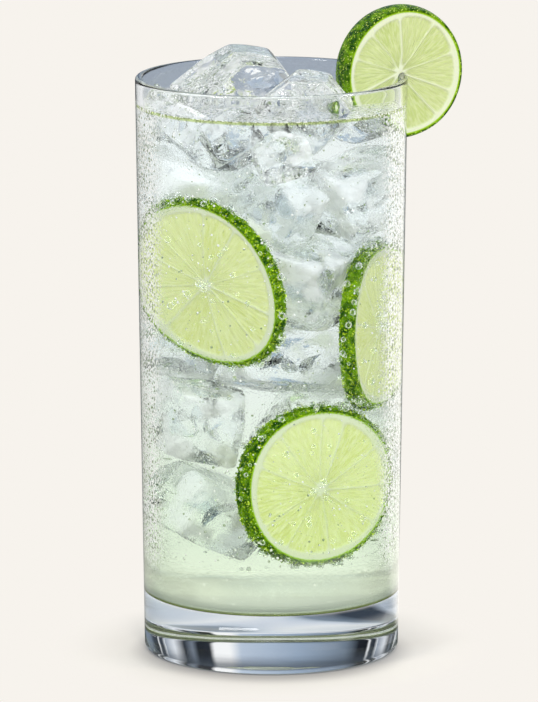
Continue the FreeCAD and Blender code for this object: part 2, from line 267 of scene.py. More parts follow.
# Clear glass. Where it is seen edge on, a thin grey-green line of painted shade darkens it, and its inner
# wall over the drink is painted a cooler grey from the open side, also painted shade. Where the drink wets
# the inner wall, the two touch with no air between them, so that wall throws hardly any light back. Pressed
# glass has faint waves.
clear_glass, shader = start_finish("clear_glass", Roughness=0.0, IOR=1.5, Transmission_Weight=1.0,
                                   Specular_IOR_Level=0.3)
place, height, out = find_place(clear_glass)
slope = (glass_rim - glass_foot) / glass_height
depth = reckon(clear_glass, "SUBTRACT", reckon(clear_glass, "MULTIPLY_ADD", height, slope, glass_foot), out)
inner = run_between(clear_glass, depth, 0.0008, 0.0014)
from_glass = add_node(clear_glass, "NewGeometry").outputs["Backfacing"]
dry = run_between(clear_glass, height, level - 0.0005, level + 0.0020)
dry_wall_painted_shade = reckon(clear_glass, "MULTIPLY", dry, reckon(clear_glass, "SUBTRACT", inner, from_glass, held=True))
above_foot = run_between(clear_glass, height, 0.006, 0.010)
wetted = reckon(clear_glass, "SUBTRACT", reckon(clear_glass, "MULTIPLY", inner, above_foot), dry, held=True)
thrown = blend_colours(clear_glass, wetted, (1.0, 1.0, 1.0, 1.0), (0.05, 0.05, 0.05, 1.0))
feed(shader, "Specular Tint", thrown)
# Painted shade: a grey-green line where the glass is seen edge on, and a cooler grey on its dry inner wall
# from the open side.
facing = add_node(clear_glass, "LayerWeight", {"Blend": 0.5}).outputs["Facing"]
edge = reckon(clear_glass, "MULTIPLY", run_between(clear_glass, facing, 0.80, 1.0),
              run_between(clear_glass, height, level + 0.0010, level + 0.0060, 1.0, 0.35))
tone = blend_colours(clear_glass, dry_wall_painted_shade, paint(254, 255, 255), paint(100, 112, 130))
feed(shader, "Base Color", blend_colours(clear_glass, edge, tone, paint(120, 134, 122)))
feed(shader, "Normal", raise_bumps(clear_glass, stir(clear_glass, place, 45.0), 0.05, 0.002))
heavy = run_between(clear_glass, height, glass_floor, glass_floor + 0.004, 1.0, 0.0)
heavy = blend_colours(clear_glass, heavy, paint(250, 252, 252), paint(182, 188, 198))
let_light_in(clear_glass, shader, heavy)

tumbler.data.materials.append(clear_glass)
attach(tumbler, "root")
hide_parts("tumbler")


# -------------------------------------------------------------------------- the wheels in the drink
# Three wheels cut across fresh limes, sunk against the wall at the upper left, the right and the lower
# right. Each has thin-skinned segments of pulp round a pale core, a pith ring and a pored green peel.

def smooth_step(value, low, high):
    """0 below low, 1 above high, and 3t^2 - 2t^3 between."""
    t = np.clip((value - low) / (high - low), 0, 1)
    return t * t * (3 - 2 * t)


def draw_segments(x, y, radius, rind, count, seed):
    """Marks of a lime's cut face at (x, y): its pulp, its segments' shades and its grain.

    Skins run from the core at uneven angles. A point's distance to the nearest skin, to the core and
    to the pith are joined by a soft least, -k log(sum of exp(-d / k)), which rounds the segments'
    corners. The grain is (cos a, sin a, r / radius), so a pattern on it runs outward in streaks."""
    chance = np.random.default_rng(seed)
    share = chance.uniform(0.70, 1.30, count)
    start = np.cumsum(share / share.sum()) * 2 * np.pi + chance.uniform(0, 2 * np.pi)
    off = chance.uniform(-0.05, 0.05, 2) * radius
    dx, dy = x - off[0], y - off[1]
    r, a = np.hypot(dx, dy), np.arctan2(dy, dx)
    bend = chance.uniform(-0.12, 0.12, count)
    turn = a[..., None] - start - bend * (r / radius)[..., None]
    turn = (turn + np.pi) % (2 * np.pi) - np.pi
    gap = np.where(np.abs(turn) < np.pi / 2, np.abs(r[..., None] * np.sin(turn)), 9.0)
    which = np.where(turn >= 0, turn, 9.0).argmin(-1)
    core = 0.0012 + 0.0005 * np.sin(a * 5 + seed)
    pith = radius - rind - 0.0004 * (1 + np.sin(a * 3 + seed)) - np.hypot(x, y)
    width = chance.uniform(-0.00012, 0.00018, count)
    skin = gap.min(-1) - width[gap.argmin(-1)] - 0.00010 * (r / radius)
    k = 0.0006
    edge = -k * np.log(np.exp(-skin / k) + np.exp(-(r - core) / k) + np.exp(-pith / k))
    pulp = smooth_step(edge, -0.00030, 0.00050)
    shade = chance.uniform(0, 1, count)[which]
    grain = np.stack([np.cos(a), np.sin(a), r / radius], -1)
    return pulp, shade, grain


def wheel_section(radius, thick):
    """Half section of a wheel: from the middle of the front face out, round the peel's belly, where
    r = radius - bulge x (2 z / thick)^2, and back to the middle of the rear face."""
    bulge, turned = 0.0007, 0.0005
    reach = radius - bulge - turned
    out = reach * np.linspace(0, 1, 58) ** 0.9
    swing = np.linspace(0, np.pi / 2, 6)[1:]
    half = np.concatenate([np.stack([out, 0 * out + thick / 2], 1), np.stack(
        [reach + turned * np.sin(swing), thick / 2 - turned + turned * np.cos(swing)], 1)])
    side = np.linspace(1, -1, 13)[1:-1] * (thick / 2 - turned)
    belly = np.stack([radius - bulge * (side / (thick / 2 - turned)) ** 2, side], 1)
    return np.vstack([half, belly, half[::-1] * [1, -1]]), reach


def dress_face(x, y, z, span, reach, radius, thick, rind, count, seed):
    """Marks of a wheel's skin at (x, y, z), and the skin with its pulp sunk a little between skins."""
    pulp, shade, grain = draw_segments(x, y, radius, rind, count, seed)
    face = smooth_step(np.abs(z), thick / 2 - 0.0006, thick / 2 - 0.0001)
    sunk = 0.00030
    z = z - np.sign(z) * sunk * pulp * face
    peel = np.maximum(smooth_step(span, reach - 0.0010, reach + 0.0001), 1 - face)
    return np.stack([x, y, z], -1), {"pulp": pulp * face, "shade": shade, "grain": grain, "peel": peel}


def cut_wheel(radius, thick, rind=0.0031, count=10, seed=1, places=420):
    """Rings of a whole lime wheel about its own centre, its faces across local z, and their marks.

    Its edge strays a little from a circle, by sines of twice and three times the angle."""
    section, reach = wheel_section(radius, thick)
    angle = np.arange(places) * 2 * np.pi / places
    stray = 1 + 0.006 * np.sin(2 * angle + seed) + 0.004 * np.sin(3 * angle + 2 * seed)
    r, z = section[:, :1] * stray, section[:, 1:] + 0 * angle
    x, y = r * np.cos(angle), r * np.sin(angle)
    return dress_face(x, y, z, section[:, :1] + 0 * angle, reach, radius, thick, rind, count, seed)


def turn_about(axis, degrees):
    """Matrix that turns points about x, y or z, which are axis 0, 1 and 2."""
    one, two = (axis + 1) % 3, (axis + 2) % 3
    turn = np.eye(3)
    turn[one, one] = turn[two, two] = np.cos(np.radians(degrees))
    turn[two, one] = np.sin(np.radians(degrees))
    turn[one, two] = -turn[two, one]
    return turn


def stand_wheel(points, middle, yaw, lean, roll):
    """Stands a wheel up: rolled about its axis, raised by a right angle and its lean, turned by its yaw
    and carried to its place.

    Local x goes right, local y up and local z towards the front, and the angles are in degrees."""
    turn = turn_about(2, yaw) @ turn_about(0, 90 + lean) @ turn_about(2, roll)
    return points @ turn.T + np.array(middle)


def lay_cells(material, place, scale):
    """Pattern of uneven cells about 1 / scale across: its distances, places and colours."""
    return add_node(material, "TexVoronoi", {"Vector": place, "Scale": scale}).outputs


def make_lime_finish(name, gloss, deep_pulp, light_pulp, painted_pore_glint):
    """Lime: watery yellow-green pulp in fine sacs that run outward, pale skins and pith, a thin bright line
    under the skin, and a dark peel whose pores are painted lighter, as painted highlights."""
    lime, shader = start_finish(name, IOR=1.45, Subsurface_Weight=0.15, Subsurface_Scale=0.0010,
                                Subsurface_Radius=(1.0, 1.2, 0.4), Specular_IOR_Level=gloss)
    pulp, shade, peel = (add_node(lime, "Attribute", attribute_name=mark).outputs["Fac"]
                         for mark in ("pulp", "shade", "peel"))
    grain = add_node(lime, "Attribute", attribute_name="grain").outputs["Vector"]
    stretch = add_node(lime, "Mapping", {"Vector": grain, "Scale": (16.0, 16.0, 5.0)}).outputs["Vector"]
    sacs, streaks = lay_cells(lime, stretch, 1.0)["Distance"], stir(lime, stretch, 1.6, 4.0)
    tone = blend_colours(lime, run_between(lime, streaks, 0.35, 0.68), deep_pulp, light_pulp)
    tone = blend_colours(lime, run_between(lime, shade, 0.0, 1.0, 0.0, 0.5), tone, light_pulp)
    tone = blend_colours(lime, run_between(lime, sacs, 0.60, 1.00, 0.0, 0.30), tone, paint(233, 240, 192))
    tone = blend_colours(lime, pulp, paint(222, 229, 199), tone)
    place = add_node(lime, "TexCoord").outputs["Object"]
    pores, blotch = lay_cells(lime, place, 1250.0)["Distance"], stir(lime, place, 420.0, 3.0)
    green = blend_colours(lime, run_between(lime, blotch, 0.35, 0.7), paint(32, 76, 0), paint(114, 160, 4))
    # Painted highlights: the pores are painted a lighter green.
    green = blend_colours(lime, run_between(lime, pores, 0.12, 0.34, 0.95, 0.0), green, painted_pore_glint)
    ring = blend_colours(lime, run_between(lime, peel, 0.0, 0.42), tone, paint(156, 200, 14))
    feed(shader, "Base Color", blend_colours(lime, run_between(lime, peel, 0.45, 0.95), ring, green))
    feed(shader, "Roughness", run_between(lime, streaks, 0.3, 0.7, 0.32, 0.14))
    relief = raise_bumps(lime, reckon(lime, "MULTIPLY", sacs, pulp), 0.6, 0.0005, invert=True)
    feed(shader, "Normal", raise_bumps(lime, reckon(lime, "MULTIPLY", pores, peel), 1.0, 0.0005, relief))
    return lime


# The wheels in the drink are painted lighter than the same lime on the rim, as painted light that evens out
# how differently the two are lit.
sunk_lime = make_lime_finish("sunk_lime", 0.0, paint(214, 224, 142), paint(231, 239, 182),
                             paint(190, 218, 20))
sunk_wheels = {
    "sunk_wheel_left": dict(middle=(-0.0146, -0.0133, 0.1082), yaw=-45.5, lean=14.5, roll=20, radius=0.0248,
                            thick=0.0034, seed=3),
    "sunk_wheel_right": dict(middle=(0.0222, -0.0016, 0.0935), yaw=83.5, lean=0, roll=70, radius=0.0235,
                             thick=0.0046, seed=5),
    "sunk_wheel_low": dict(middle=(0.0109, -0.0190, 0.0514), yaw=30.2, lean=-2.6, roll=40, radius=0.0225,
                           thick=0.0062, seed=8),
}
wheel_points = {}
for name, w in sunk_wheels.items():
    points, marks = cut_wheel(w["radius"], w["thick"], seed=w["seed"])
    points = stand_wheel(points, w["middle"], w["yaw"], w["lean"], w["roll"])
    wheel_points[name] = (points, marks)
    wheel = lay_skin(name, points, marks)
    wheel.data.materials.append(sunk_lime)
    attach(wheel, "root")


# ------------------------------------------------------------------------------ the ice in the drink
# Machine-made cubes with a chipped corner, melted to soft edges. Sunk in the drink they show only as
# pale bodies with clear skins, bent light at their edges and cloudy cores full of trapped air.

def melt_cube(wide, deep, tall, chip, seed, sharp=26, rings=64, places=96):
    """Rings of a chipped, melted cube about its own centre.

    A direction d leaves the cube where the soft greatest of (n . d) / h over its planes is one:
    r(d) = (sum of max(0, n . d / h)^p)^(-1/p). The planes are the six sides, a cut corner and a few
    chips, and a higher p keeps the edges sharper. A little slow unevenness is added as it melts."""
    chance = np.random.default_rng(seed)
    normals = np.array([[1, 0, 0], [-1, 0, 0], [0, 1, 0], [0, -1, 0], [0, 0, 1], [0, 0, -1],
                        [1, 1, 0]], float)
    normals = np.vstack([normals, chance.choice([-1, 1], (6, 3)) * chance.uniform(0.3, 1, (6, 3))])
    normals[:6] += chance.uniform(-0.07, 0.07, (6, 3))
    normals /= np.linalg.norm(normals, axis=1, keepdims=True)
    reach = np.array([wide, wide, deep, deep, tall, tall], float) / 2
    corner = (wide / 2 + deep / 2 - chip) / np.sqrt(2)
    extra = np.array([wide, deep, tall]) / 2 @ np.abs(normals[7:]).T * chance.uniform(0.80, 0.92, 6)
    reach = np.concatenate([reach, [corner], extra])
    down = np.linspace(0, np.pi, rings)[:, None]
    across = np.arange(places)[None, :] * 2 * np.pi / places
    d = np.stack([np.sin(down) * np.cos(across), np.sin(down) * np.sin(across),
                  np.cos(down) + 0 * across], -1)
    soft = (np.maximum(d @ normals.T, 0) / reach) ** sharp
    r = soft.sum(-1) ** (-1 / sharp)
    pace, swell = 405, 0.00012
    waves = chance.uniform(-1, 1, (5, 3)) * pace
    phase = chance.uniform(0, 2 * np.pi, 5)
    uneven = np.sin((d * r[..., None]) @ waves.T + phase).sum(-1)
    return d * (r + swell * uneven)[..., None]


def turn_cube(points, yaw, pitch, roll):
    """Turns a cube by roll about x, pitch about y and yaw about z, in degrees."""
    return points @ (turn_about(2, yaw) @ turn_about(1, pitch) @ turn_about(0, roll)).T


def tilt_facets(material, place, scale, tilt, under=None):
    """Breaks a surface into flat facets: in each cell the height is (place - middle) . lean, where the
    cell's lean is a random vector, so that the whole cell is tilted one way."""
    cells = lay_cells(material, place, scale)
    lean = reckon_vectors(material, "SUBTRACT", cells["Color"], (0.5, 0.5, 0.5))
    near = reckon_vectors(material, "SUBTRACT", place, cells["Position"])
    return raise_bumps(material, reckon_vectors(material, "DOT_PRODUCT", near, lean), 1.0, tilt, under)


def make_ice_finish(name, bend, cloud, tilt):
    """Ice: clear skins broken into facets, with sharp white patches where fine air was trapped."""
    ice, shader = start_finish(name, IOR=bend, Roughness=0.015, Specular_IOR_Level=0.3)
    place = add_node(ice, "TexCoord").outputs["Object"]
    drift = add_node(ice, "TexNoise", {"Vector": place, "Scale": 90.0}).outputs["Color"]
    drift = reckon_vectors(ice, "ADD", place, reckon_vectors(ice, "MULTIPLY", drift, (0.006, 0.006, 0.006)))
    patches = stir(ice, drift, 85.0, 3.0)
    tone = run_between(ice, patches, 0.4, 0.6)
    feed(shader, "Base Color", blend_colours(ice, tone, paint(254, 255, 255), paint(250, 252, 255)))
    feed(shader, "Transmission Weight", run_between(ice, patches, 0.47, 0.60, 1.0, 1.0 - cloud))
    broad = tilt_facets(ice, drift, 80.0, tilt)
    small = tilt_facets(ice, drift, 300.0, 0.28 * tilt, broad)
    feed(shader, "Normal", raise_bumps(ice, stir(ice, place, 900.0), 0.12, 0.0003, small))
    let_light_in(ice, shader, paint(252, 253, 254))
    return ice


sunk_finish = make_ice_finish("sunk_ice", 1.18, 0.85, 0.90)
cloudy_finish = make_ice_finish("cloudy_ice", 1.12, 0.98, 0.50)
sunk_cubes = {
    "sunk_cube_top_left": ((-0.0190, 0.0040, 0.1315), (0.0230, 0.0200, 0.0190), (20, 15, 30)),
    "sunk_cube_top_mid": ((0.0010, -0.0080, 0.1290), (0.0210, 0.0190, 0.0180), (-25, 30, 12)),
    "sunk_cube_top_right": ((0.0210, -0.0060, 0.1330), (0.0200, 0.0170, 0.0190), (40, -20, 25)),
    "sunk_cube_top_back": ((0.0040, 0.0190, 0.1270), (0.0220, 0.0190, 0.0200), (10, 25, -20)),
    "sunk_cube_surface_front": ((0.0030, -0.0285, 0.1455), (0.0140, 0.0090, 0.0110), (12, -18, 25)),
    "sunk_cube_big": ((0.0060, -0.0090, 0.1080), (0.0240, 0.0220, 0.0210), (-18, 14, 8)),
    "sunk_cube_right": ((0.0085, 0.0165, 0.1060), (0.0190, 0.0180, 0.0200), (30, 10, 20)),
    "sunk_cube_middle": ((0.0040, 0.0100, 0.0845), (0.0260, 0.0210, 0.0190), (25, 12, -15)),
    "sunk_cube_rear_left": ((-0.0180, 0.0150, 0.0900), (0.0220, 0.0190, 0.0210), (-15, 20, 10)),
    "sunk_cube_left": ((-0.0170, -0.0080, 0.0680), (0.0190, 0.0170, 0.0200), (12, 6, 10)),
    "sunk_cube_rear": ((0.0120, 0.0140, 0.0600), (0.0240, 0.0200, 0.0210), (20, 10, 35)),
    "sunk_cube_low": ((-0.0130, 0.0080, 0.0400), (0.0220, 0.0190, 0.0180), (35, 25, 20)),
    "ice_chip_left": ((-0.0285, -0.0040, 0.1530), (0.0110, 0.0120, 0.0090), (50, 20, 35)),
    "ice_chip_front_left": ((-0.0225, -0.0200, 0.1525), (0.0100, 0.0090, 0.0085), (15, 25, 10)),
}
cube_points = {}
cloudy_cubes = ("sunk_cube_top_left", "sunk_cube_low")
for i, (name, (middle, size, turns)) in enumerate(sunk_cubes.items()):
    points = turn_cube(melt_cube(*size, 0.006, seed=20 + i), *turns) + np.array(middle)
    cube_points[name] = points
    cube = lay_skin(name, points)
    cube.data.materials.append(cloudy_finish if name in cloudy_cubes else sunk_finish)
    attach(cube, "root")


# ---------------------------------------------------------------------------------------- the drink
# Cloudy lime lemonade, poured to just under the rim. It wets the glass, so it climbs the wall in a
# thin collar. Its skin reaches 0.4 mm into the wall, so that no air shows between the two.

wet = 0.0004
climb, climb_reach, lap = 0.0009, 0.0010, 0.0006


def pour():
    """Section of the drink, from the middle of the floor out, up the wall, and in over the surface.

    Near the wall the surface rises by climb x exp(-distance / reach)."""
    edge = inner_wall(level) + wet
    side = round_corners([[0, glass_floor - wet, 0],
                          [inner_wall(glass_floor) + wet, glass_floor - wet, floor_round + wet],
                          [edge, level + lap, 0]])
    inward = np.concatenate([np.geomspace(0.0001, 0.006, 16), np.linspace(0.008, edge, 18)])
    surface = np.stack([edge - inward, level + climb * np.exp(-inward / climb_reach)], 1)
    surface[-1] = [0, level]
    return np.vstack([side, surface])


drink = lay_skin("lime_lemonade", turn_round(pour()))

# Lemonade: clear and pale green, greener low down, with a fine line where it ends at the wall above and at
# the floor. A haze has settled at the bottom, and fine beads frost its skin where the wall turns away,
# painted white there as a painted highlight, a few of them painted dark as painted shade. The normal is
# raised a little for them, to allow for a view from a little above.
lemonade, shader = start_finish("lemonade", Roughness=0.0, IOR=1.33, Specular_IOR_Level=0.1,
                                Specular_Tint=(0.1, 0.1, 0.1, 1.0))
place, height, out = find_place(lemonade)
geometry = add_node(lemonade, "NewGeometry").outputs
from_inside = geometry["Backfacing"]
tone = run_between(lemonade, height, 0.026, 0.100)
tone = blend_colours(lemonade, tone, paint(240, 251, 226), paint(253, 255, 255))
collar = reckon(lemonade, "MULTIPLY", run_between(lemonade, height, level - 0.0003, level + 0.0001),
                run_between(lemonade, out, 0.0325, 0.0350))
foot = reckon(lemonade, "MULTIPLY", run_between(lemonade, height, glass_floor + 0.0003, glass_floor + 0.0012,
                                                1.0, 0.0), run_between(lemonade, out, 0.0285, 0.0300))
foot = reckon(lemonade, "SUBTRACT", foot, from_inside, held=True)
tone = blend_colours(lemonade, reckon(lemonade, "MAXIMUM", collar, foot), tone, paint(184, 202, 104))
settled = run_between(lemonade, height, glass_floor + 0.004, glass_floor + 0.020, 0.60, 0.0)
settled = reckon(lemonade, "SUBTRACT", settled, from_inside, held=True)
raised = reckon_vectors(lemonade, "ADD", geometry["Normal"], (0.0, 0.0, 0.35))
raised = reckon_vectors(lemonade, "NORMALIZE", raised)
facing = add_node(lemonade, "LayerWeight", {"Blend": 0.5, "Normal": raised}).outputs["Facing"]
specks = lay_cells(lemonade, place, 1500.0)
dots = run_between(lemonade, specks["Distance"], 0.48, 0.60, 1.0, 0.0)
# The beads are real. Their white where the wall turns away is a painted highlight, and the dark ones among
# them are painted shade.
beads_and_painted_glint = reckon(lemonade, "MULTIPLY", run_between(lemonade, facing, 0.170, 0.235, 0.0, 0.95), dots)
above_floor = run_between(lemonade, height, glass_floor + 0.002, glass_floor + 0.018)
beads_and_painted_glint = reckon(lemonade, "MULTIPLY", beads_and_painted_glint, above_floor)
haze = run_between(lemonade, stir(lemonade, place, 38.0, 3.0), 0.40, 0.7, 0.0, 0.003)
white = reckon(lemonade, "MAXIMUM", reckon(lemonade, "ADD", haze, settled), beads_and_painted_glint)
feed(shader, "Transmission Weight", reckon(lemonade, "SUBTRACT", 1.0, white))
kind = add_node(lemonade, "SeparateXYZ", {"Vector": specks["Color"]}).outputs["X"]
kind = run_between(lemonade, kind, 0.74, 0.80)
bead = blend_colours(lemonade, kind, paint(255, 255, 255), paint(120, 136, 96))
feed(shader, "Base Color", blend_colours(lemonade, beads_and_painted_glint, tone, bead))
fizz = raise_bumps(lemonade, dots, run_between(lemonade, facing, 0.08, 0.25, 0.10, 0.6), 0.0002)
feed(shader, "Normal", fizz)
let_light_in(lemonade, shader, paint(254, 255, 254))
tint = add_node(lemonade, "VolumeAbsorption", {"Color": (0.30, 0.66, 0.30, 1.0), "Density": 0.8})
feed(lemonade.node_tree.nodes["Material Output"], "Volume", tint.outputs["Volume"])

drink.data.materials.append(lemonade)
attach(drink, "root")
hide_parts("drink")


# -------------------------------------------------------------------------------------- the bubbles
# Gas from the fizz: thousands of fine beads that cling to the inside of the glass, beads on the peel and
# the faces of the wheels and on the ice, larger ones on their way up, and a ring of them at the surface.

def small_ball(across, down):
    """Unit sphere of few faces: x = sin v cos u, y = sin v sin u, z = cos v. Its points and faces."""
    v = np.linspace(0, np.pi, down + 1)[1:-1, None]
    u = np.arange(across)[None, :] * 2 * np.pi / across
    ball = np.stack([np.sin(v) * np.cos(u), np.sin(v) * np.sin(u), np.cos(v) + 0 * u], -1).reshape(-1, 3)
    number = np.arange((down - 1) * across).reshape(down - 1, across)
    beside = np.roll(number, -1, axis=1)
    quads = np.stack([number[:-1], number[1:], beside[1:], beside[:-1]], -1).reshape(-1, 4)
    top, bottom = len(ball), len(ball) + 1
    caps = np.vstack([np.stack([0 * number[0] + top, number[0], beside[0]], -1),
                      np.stack([0 * number[0] + bottom, beside[-1], number[-1]], -1)])
    return np.vstack([ball, [0, 0, 1], [0, 0, -1]]), quads, caps


def lay_many(name, points, quads, caps, finish):
    """One mesh of many small bodies with the same faces: points are bodies by points by (x, y, z)."""
    shift = (np.arange(len(points)) * points.shape[1])[:, None, None]
    faces = (quads + shift).reshape(-1, 4).tolist() + (caps + shift).reshape(-1, 3).tolist()
    piece = make_piece(name, points.reshape(-1, 3), faces)
    piece.data.materials.append(finish)
    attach(piece, "root")


def blow_beads(name, middles, radii, finish, across=7, down=5):
    """Many small round beads in one mesh, each about its own middle."""
    ball, quads, caps = small_ball(across, down)
    lay_many(name, middles[:, None] + radii[:, None, None] * ball, quads, caps, finish)


def set_round(far, angle, high):
    """Points at a distance from the upright axis, an angle round it and a height."""
    return np.stack([far * np.cos(angle), far * np.sin(angle), high], 1)


def make_bead_finish(name, scale, low, high, first, second, **sockets):
    """Finish of small beads in two colours, in lumps about 1 / scale across: material, shader, colour."""
    finish, shader = start_finish(name, **sockets)
    mottle = stir(finish, add_node(finish, "TexCoord").outputs["Object"], scale)
    tone = blend_colours(finish, run_between(finish, mottle, low, high), first, second)
    feed(shader, "Base Color", tone)
    let_light_in(finish, shader, paint(255, 255, 255))
    return finish, shader, tone


bubble, shader, tone = make_bead_finish("bubble", 400.0, 0.4, 0.6, paint(255, 255, 255), paint(236, 244, 236),
                                        Roughness=0.0, IOR=0.70, Transmission_Weight=1.0)
# Painted reflection: a dark outline at each bubble's edge and a white ring inside it.
facing = add_node(bubble, "LayerWeight", {"Blend": 0.5}).outputs["Facing"]
tone = blend_colours(bubble, run_between(bubble, facing, 0.78, 0.90), tone, paint(132, 152, 100))
feed(shader, "Base Color", tone)
ring = reckon(bubble, "MULTIPLY", run_between(bubble, facing, 0.30, 0.52),
              run_between(bubble, facing, 0.62, 0.80, 0.40, 1.0))
feed(shader, "Transmission Weight", run_between(bubble, ring, 0.0, 0.5, 1.0, 0.60))
# Fine fizz beads are painted white, mottled with grey, as painted glints on what are clear beads of gas.
fizz_finish, _, _ = make_bead_finish("fizz", 900.0, 0.50, 0.58, paint(255, 255, 255), paint(150, 168, 130),
                                     Roughness=0.05, IOR=1.33, Transmission_Weight=0.15)
# Beads on the peel are painted in the peel's greens, lighter in places, as the peel seen through them with
# painted glints.
peel_bead, _, _ = make_bead_finish("peel_bead", 900.0, 0.44, 0.60, paint(96, 140, 4), paint(206, 230, 56),
                                   Roughness=0.1, IOR=0.80, Transmission_Weight=0.35)

chance = np.random.default_rng(11)
count, lowest = 5200, glass_floor + 0.003
angle = chance.uniform(0, 2 * np.pi, count)
high = lowest + (level - lowest) * chance.uniform(0, 1, count)
size = 0.00010 + 0.00034 * chance.uniform(0, 1, count) ** 5
blow_beads("wall_fizz", set_round(inner_wall(high) - size * 1.1, angle, high), size, fizz_finish, 4, 3)

# On each wheel, beads push off outward from its peel and sideways from its faces. The large ones, and all of
# those on the faces, are clear. The rest, on the peel, are painted green, lighter in places, as the peel seen
# through them with painted glints.
large, large_sizes, green, green_sizes = [], [], [], []
for name, (points, marks) in wheel_points.items():
    flat, peel_mark = points.reshape(-1, 3), marks["peel"].ravel()
    w = sunk_wheels[name]
    middle = np.array(w["middle"])
    axis = stand_wheel(np.array([[0, 0, 1.0]]), (0, 0, 0), w["yaw"], w["lean"], 0)[0]
    for on_peel, many, big in ((True, 1000, 70), (False, 120, 44)):
        where = peel_mark > 0.9 if on_peel else peel_mark < 0.1
        at = flat[chance.choice(np.nonzero(where)[0], many)]
        side = (at - middle) @ axis
        off = (at - middle) - np.outer(side, axis)
        off /= np.linalg.norm(off, axis=1, keepdims=True)
        push = off if on_peel else axis * np.sign(side)[:, None]
        size = 0.00012 + 0.00024 * chance.uniform(0, 1, many) ** 2
        size[:big] = chance.uniform(0.00050, 0.00110, big)
        at = at + push * size[:, None]
        clear = big if on_peel else many
        large, large_sizes = large + [at[:clear]], large_sizes + [size[:clear]]
        green, green_sizes = green + [at[clear:]], green_sizes + [size[clear:]]


def keep_inside(middles, sizes):
    """Keeps the beads that clear the wall by a tenth of their radius."""
    middles, sizes = np.vstack(middles), np.concatenate(sizes)
    inside = np.hypot(middles[:, 0], middles[:, 1]) < inner_wall(middles[:, 2]) - sizes * 1.1
    return middles[inside], sizes[inside]


blow_beads("peel_fizz", *keep_inside(green, green_sizes), peel_bead, 6, 4)
blow_beads("wheel_bubbles", *keep_inside(large, large_sizes), bubble, 10, 7)

fine, fine_sizes, each = [], [], 440
for points in cube_points.values():
    at = points.reshape(-1, 3)[chance.integers(0, points.shape[0] * points.shape[1], each)]
    size = 0.00007 + 0.00018 * chance.uniform(0, 1, each) ** 3
    fine, fine_sizes = fine + [at], fine_sizes + [size]
blow_beads("ice_fizz", *keep_inside(fine, fine_sizes), fizz_finish, 5, 4)

count = 300
angle = chance.uniform(0, 2 * np.pi, count)
widest = 0.0325
far = widest * np.sqrt(chance.uniform(0, 1, count))
high = chance.uniform(glass_floor + 0.004, level - 0.002, count)
size = 0.00018 + 0.00060 * chance.uniform(0, 1, count) ** 4
blow_beads("rising_bubbles", set_round(far, angle, high), size, bubble, 10, 7)

count = 900
angle = chance.uniform(0, 2 * np.pi, count)
far = inner_wall(level) - 0.0008 - 0.012 * chance.uniform(0, 1, count) ** 2
size = 0.00012 + 0.00045 * chance.uniform(0, 1, count) ** 3
blow_beads("surface_beads", set_round(far, angle, level - 0.3 * size), size, bubble, 7, 5)


# ------------------------------------------------------------------------------ the cracks in the ice
# Thin curved flakes of air in each sunk cube, which flash like mirrors. Each is a ball squashed to a
# flake and bent by z = bow x (x squared - y squared), then turned and put in its cube.

crack, shader = start_finish("ice_crack", Roughness=0.0, IOR=0.80, Transmission_Weight=1.0)
mottle = stir(crack, add_node(crack, "TexCoord").outputs["Object"], 300.0)
feed(shader, "Base Color", blend_colours(crack, mottle, paint(255, 255, 255), paint(232, 238, 246)))
feed(shader, "Normal", raise_bumps(crack, mottle, 0.5, 0.001))
let_light_in(crack, shader, paint(254, 254, 255))

ball, quads, caps = small_ball(28, 10)
flakes, flakes_each, squash, bow = [], 4, 0.03, 0.25
for middle, size, _ in sunk_cubes.values():
    for _ in range(flakes_each):
        flake = ball * [1, chance.uniform(0.5, 0.9), squash]
        flake[:, 2] += bow * (flake[:, 0] ** 2 - flake[:, 1] ** 2)
        flake = turn_cube(flake * min(size) * chance.uniform(0.16, 0.30), *chance.uniform(0, 360, 3))
        flakes.append(flake + np.array(middle) + chance.uniform(-0.16, 0.16, 3) * size)
lay_many("ice_cracks", np.array(flakes), quads, caps, crack)


# ------------------------------------------------------------------------------- the ice that floats
# Four cubes of the same ice that break the surface: a tall one at the left, a low one in front of it to
# the right, one behind the front wall and one at the back. In air their facets flash and go dark.

floating_finish = make_ice_finish("floating_ice", 1.31, 0.30, 0.90)
floating_cubes = {
    "ice_tall": ((0.031, 0.026, 0.021), 0.0085, (8, -34, 102), 31),
    "ice_low": ((0.0215, 0.020, 0.016), 0.0075, (-14, -42, 96), 32),
    "ice_front": ((0.015, 0.014, 0.012), 0.0040, (10, -30, 78), 33),
    "ice_back": ((0.014, 0.0125, 0.0125), 0.0040, (60, -20, 70), 34),
}
for node, (size, chip, turns, seed) in floating_cubes.items():
    points = turn_cube(melt_cube(*size, chip, seed, sharp=40, rings=96, places=132), *turns)
    low, high = (np.array(corner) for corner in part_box(node))
    spread = points.max((0, 1)) - points.min((0, 1))
    points = (points - points.min((0, 1))) * ((high - low) / spread) + low
    cube = lay_skin("floating_" + node, points)
    cube.data.materials.append(floating_finish)
    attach(cube, "root")
    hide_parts(node)


# --------------------------------------------------------------------------------- the wheel on the rim
# A wheel of lime, slit from its edge to its core and pushed down over the wall, so that its slit hugs
# both sides of the glass and its core sits on the lip. Its face is turned a little to the right.

low, high = (np.array(corner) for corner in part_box("lime_garnish"))
seat, garnish_yaw = (low + high) / 2, 27.0
garnish_radius = (high[2] - low[2]) / 2
slit = 0.00128


